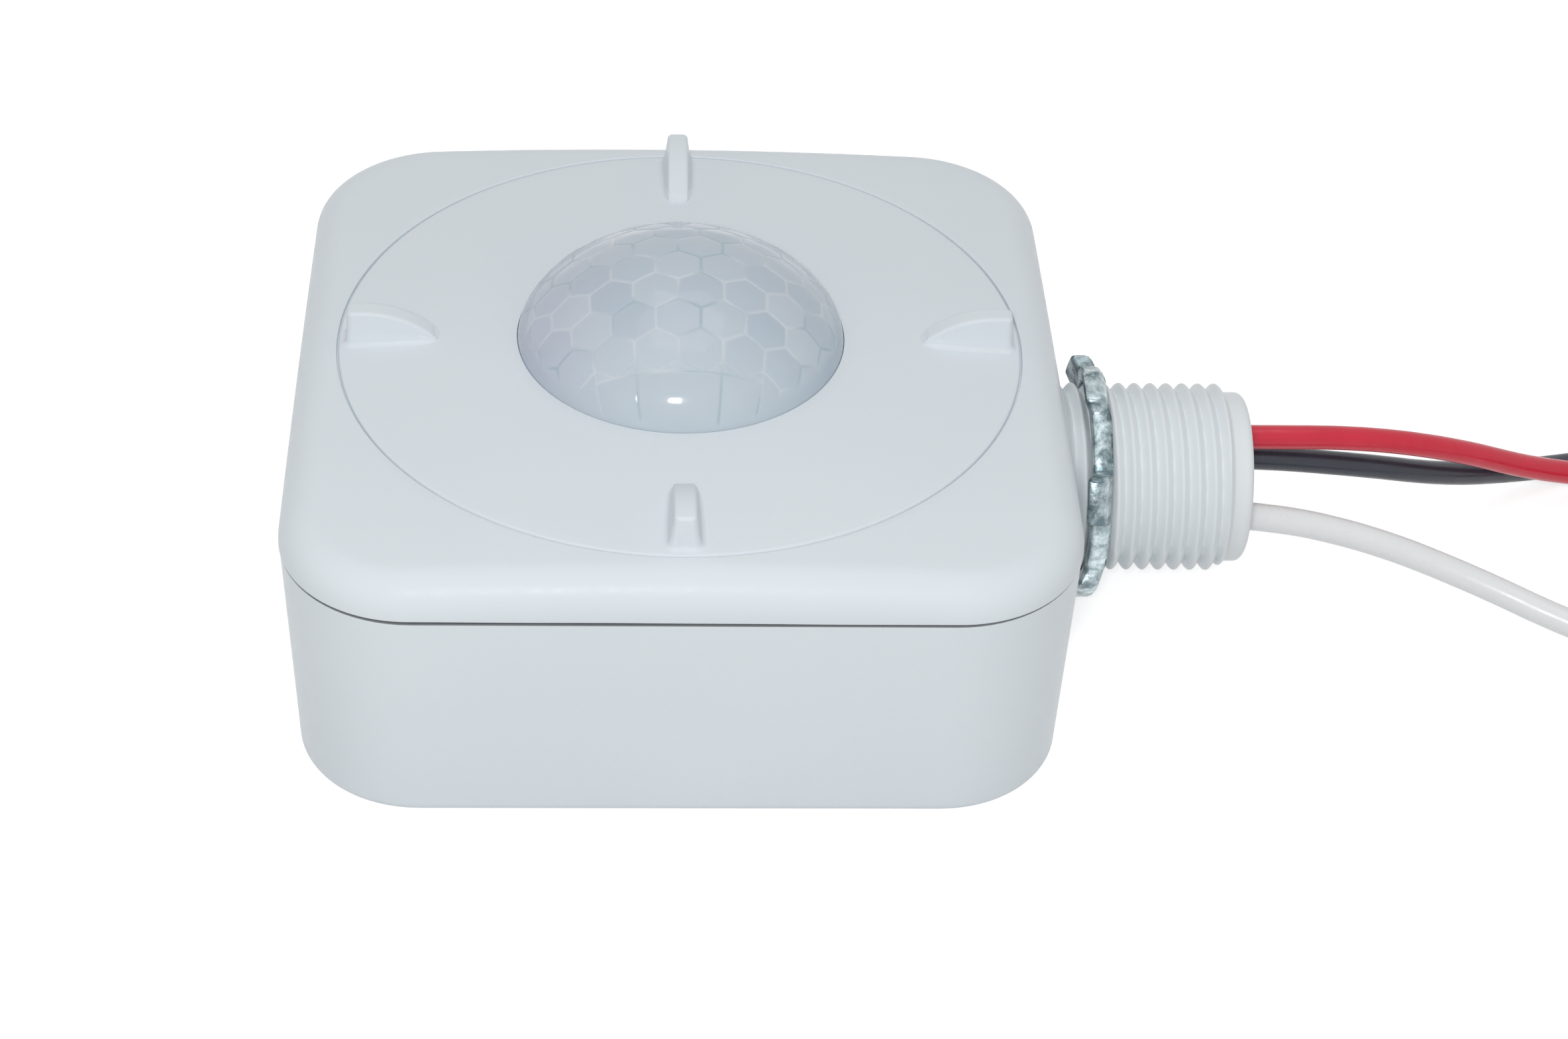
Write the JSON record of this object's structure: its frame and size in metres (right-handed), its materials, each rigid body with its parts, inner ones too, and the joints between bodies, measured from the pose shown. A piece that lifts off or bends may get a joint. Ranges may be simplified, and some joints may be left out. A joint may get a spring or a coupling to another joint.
{
  "type": "motion sensor",
  "caption": "Square ceiling motion sensor with a domed lens in a twist-off ring, and a threaded side nipple with a locknut for mounting in a knockout and three wire leads.",
  "frame": {"origin": "centre of the rear housing's flat outer face, on the lens axis", "axes": "+Z out of the rear face through the lens, +X out along the conduit nipple, +Y across"},
  "size_m": [0.1988, 0.1165, 0.0433],
  "materials": {
    "housing_plastic": "white ABS, fine satin texture",
    "cover_plastic": "white ABS, fine satin texture",
    "ring_plastic": "white ABS, fine satin texture",
    "nipple_plastic": "white polymer, semi-gloss moulded thread",
    "lens_polymer": "milky translucent polyethylene, smooth outside",
    "retainer_plastic": "white moulded plastic",
    "zinc_steel": "stamped steel, bright zinc plating",
    "red_insulation": "soft semi-gloss PVC",
    "black_insulation": "soft semi-gloss PVC",
    "white_insulation": "soft semi-gloss PVC",
    "tinned_copper": "tinned stranded copper",
    "tie_plastic": "black nylon band",
    "plug_compound": "potting compound",
    "board_laminate": "glass-epoxy laminate, green solder mask",
    "screw_steel": "zinc-plated steel",
    "can_metal": "nickel-plated can",
    "filter_window": "dark infrared filter",
    "led_red": "clear red epoxy",
    "photocell_resin": "clear resin over a cadmium sulphide track",
    "switch_blue": "blue moulded plastic",
    "slider_white": "white moulded plastic",
    "trimmer_blue": "blue moulded plastic",
    "rotor_white": "off-white moulded plastic",
    "relay_plastic": "black moulded plastic",
    "film_yellow": "yellow plastic case",
    "sleeve_black": "shrunk plastic sleeve",
    "winding_yellow": "taped winding on a ferrite core",
    "varistor_blue": "blue epoxy coating",
    "fuse_ceramic": "ceramic tube with metal caps",
    "black_moulding": "black moulded plastic"
  },
  "bodies": {
    "housing": {"black_bare_end": "tinned_copper", "black_coil": "black_insulation", "black_lead": "black_insulation", "black_tail": "black_insulation", "black_tie": "tie_plastic", "bridge_rectifier": "black_moulding", "conduit_nipple": "nipple_plastic", "dip_switch_block": "switch_blue", "electrolytic_capacitor": "sleeve_black", "film_capacitor": "film_yellow", "front_cover": "cover_plastic", "header_pins": "screw_steel", "header_socket": "black_moulding", "indicator_led": "led_red", "line_fuse": "fuse_ceramic", "photocell": "photocell_resin", "power_board": "board_laminate", "power_board_screws": "screw_steel", "pyro_can": "can_metal", "pyro_window": "filter_window", "rear_housing": "housing_plastic", "red_bare_end": "tinned_copper", "red_coil": "red_insulation", "red_lead": "red_insulation", "red_tail": "red_insulation", "red_tie": "tie_plastic", "relay": "relay_plastic", "sensor_board": "board_laminate", "sensor_board_screws": "screw_steel", "solder_joints": "tinned_copper", "strain_relief": "plug_compound", "transformer": "winding_yellow", "trimmer_bodies": "trimmer_blue", "varistor": "varistor_blue", "white_bare_end": "tinned_copper", "white_coil": "white_insulation", "white_lead": "white_insulation", "white_tail": "white_insulation", "white_tie": "tie_plastic"},
    "lens_ring": {"lens_ring": "ring_plastic", "dome_lens": "lens_polymer", "lens_retainer": "retainer_plastic"},
    "locknut": {"locknut": "zinc_steel"},
    "dip_slider_1": {"dip_slider_1": "slider_white"},
    "dip_slider_2": {"dip_slider_2": "slider_white"},
    "dip_slider_3": {"dip_slider_3": "slider_white"},
    "dip_slider_4": {"dip_slider_4": "slider_white"},
    "sensitivity_rotor": {"sensitivity_rotor": "rotor_white"},
    "time_delay_rotor": {"time_delay_rotor": "rotor_white"}
  },
  "joints": [
    {"name": "lens_ring_twist", "type": "hinge", "parent": "housing", "child": "lens_ring", "pos_m": [0, 0, 0.0307], "axis": [0, 0, 1], "range_deg": [0, 30]},
    {"name": "locknut_travel", "type": "slide", "parent": "housing", "child": "locknut", "axis": [1, 0, 0], "range_m": [-0.002, 0.016]},
    {"name": "dip_slide_1", "type": "slide", "parent": "housing", "child": "dip_slider_1", "axis": [0, 1, 0], "range_m": [0, 0.0016]},
    {"name": "dip_slide_2", "type": "slide", "parent": "housing", "child": "dip_slider_2", "axis": [0, 1, 0], "range_m": [0, 0.0016]},
    {"name": "dip_slide_3", "type": "slide", "parent": "housing", "child": "dip_slider_3", "axis": [0, 1, 0], "range_m": [0, 0.0016]},
    {"name": "dip_slide_4", "type": "slide", "parent": "housing", "child": "dip_slider_4", "axis": [0, 1, 0], "range_m": [0, 0.0016]},
    {"name": "sensitivity_turn", "type": "hinge", "parent": "housing", "child": "sensitivity_rotor", "pos_m": [0.012, -0.016, 0.022], "axis": [0, 0, 1], "range_deg": [-120, 120]},
    {"name": "time_delay_turn", "type": "hinge", "parent": "housing", "child": "time_delay_rotor", "pos_m": [0.021, -0.016, 0.022], "axis": [0, 0, 1], "range_deg": [-120, 120]}
  ]
}
